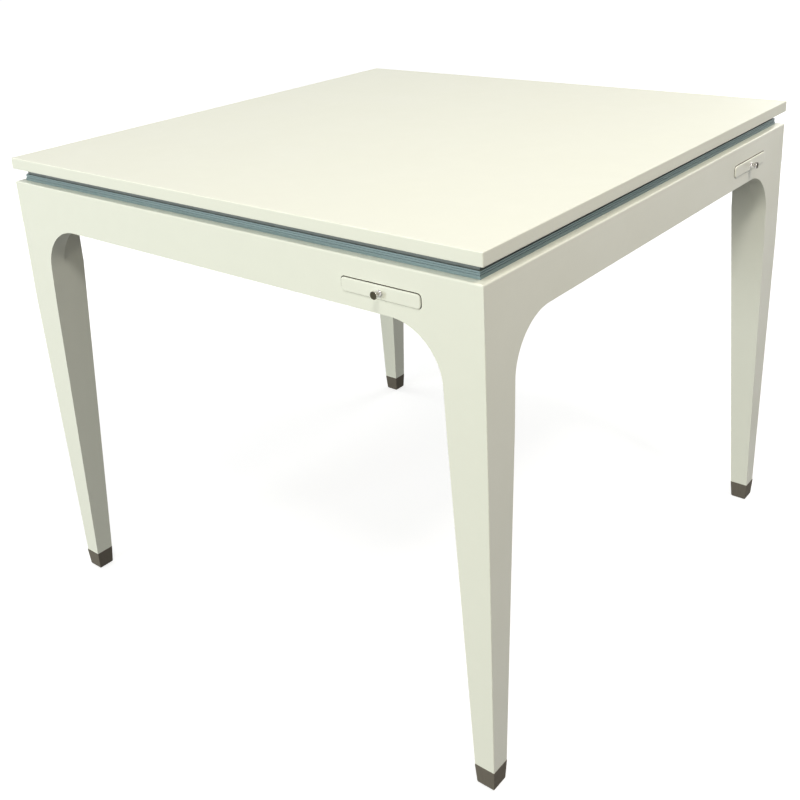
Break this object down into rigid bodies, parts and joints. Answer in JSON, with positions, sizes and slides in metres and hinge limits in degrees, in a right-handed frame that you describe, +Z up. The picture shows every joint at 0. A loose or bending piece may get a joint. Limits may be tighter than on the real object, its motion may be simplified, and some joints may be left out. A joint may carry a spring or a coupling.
{
  "type": "mahjong table",
  "caption": "Square four-player mahjong table with a lift-off dining cover, a fluted reveal under it, arched tapered legs with dark foot caps and a small knobbed drawer on each side.",
  "frame": {"origin": "on the floor under the middle of the table", "axes": "+Z up; the front side faces -Y; each side's drawer is at its right-hand end as seen from outside"},
  "size_m": [0.924, 0.924, 0.76],
  "materials": {
    "ivory_lacquer_top": "satin lacquer",
    "ivory_lacquer": "satin lacquer",
    "fluted_trim": "satin anodised",
    "pewter_cap": "dark satin",
    "chrome_knob": "polished",
    "plywood": "bare",
    "green_cloth": "short nap",
    "pine": "bare",
    "housing_plastic": "matte",
    "tray_plastic": "matte",
    "zinc_steel": "zinc plated"
  },
  "bodies": {
    "frame": {"back_drawer_housing": "housing_plastic", "back_left_bracket": "zinc_steel", "back_left_foot_cap": "pewter_cap", "back_left_leg": "ivory_lacquer", "back_rail": "ivory_lacquer", "back_right_bracket": "zinc_steel", "back_right_foot_cap": "pewter_cap", "back_right_leg": "ivory_lacquer", "back_rim": "fluted_trim", "front_back_bearer": "pine", "front_drawer_housing": "housing_plastic", "front_left_bracket": "zinc_steel", "front_left_foot_cap": "pewter_cap", "front_left_leg": "ivory_lacquer", "front_rail": "ivory_lacquer", "front_right_bracket": "zinc_steel", "front_right_foot_cap": "pewter_cap", "front_right_leg": "ivory_lacquer", "front_rim": "fluted_trim", "left_drawer_housing": "housing_plastic", "left_rail": "ivory_lacquer", "left_rim": "fluted_trim", "leg_bolts": "zinc_steel", "leg_nuts": "zinc_steel", "leg_washers": "zinc_steel", "playing_board": "plywood", "playing_cloth": "green_cloth", "right_drawer_housing": "housing_plastic", "right_rail": "ivory_lacquer", "right_rim": "fluted_trim", "side_bearer": "pine"},
    "cover": {"cover_top": "ivory_lacquer_top", "front_cover_cleat": "pine", "right_cover_cleat": "pine", "back_cover_cleat": "pine", "left_cover_cleat": "pine"},
    "front_drawer": {"front_drawer_face": "ivory_lacquer", "front_drawer_tray": "tray_plastic", "front_drawer_knob": "chrome_knob"},
    "right_drawer": {"right_drawer_face": "ivory_lacquer", "right_drawer_tray": "tray_plastic", "right_drawer_knob": "chrome_knob"},
    "back_drawer": {"back_drawer_face": "ivory_lacquer", "back_drawer_tray": "tray_plastic", "back_drawer_knob": "chrome_knob"},
    "left_drawer": {"left_drawer_face": "ivory_lacquer", "left_drawer_tray": "tray_plastic", "left_drawer_knob": "chrome_knob"}
  },
  "joints": [
    {"name": "cover_lift", "type": "slide", "parent": "frame", "child": "cover", "axis": [0, 0, 1], "range_m": [0, 0.3]},
    {"name": "front_drawer_slide", "type": "slide", "parent": "frame", "child": "front_drawer", "axis": [0, -1, 0], "range_m": [0, 0.15]},
    {"name": "right_drawer_slide", "type": "slide", "parent": "frame", "child": "right_drawer", "axis": [1, 0, 0], "range_m": [0, 0.15]},
    {"name": "back_drawer_slide", "type": "slide", "parent": "frame", "child": "back_drawer", "axis": [0, 1, 0], "range_m": [0, 0.15]},
    {"name": "left_drawer_slide", "type": "slide", "parent": "frame", "child": "left_drawer", "axis": [-1, 0, 0], "range_m": [0, 0.15]}
  ]
}
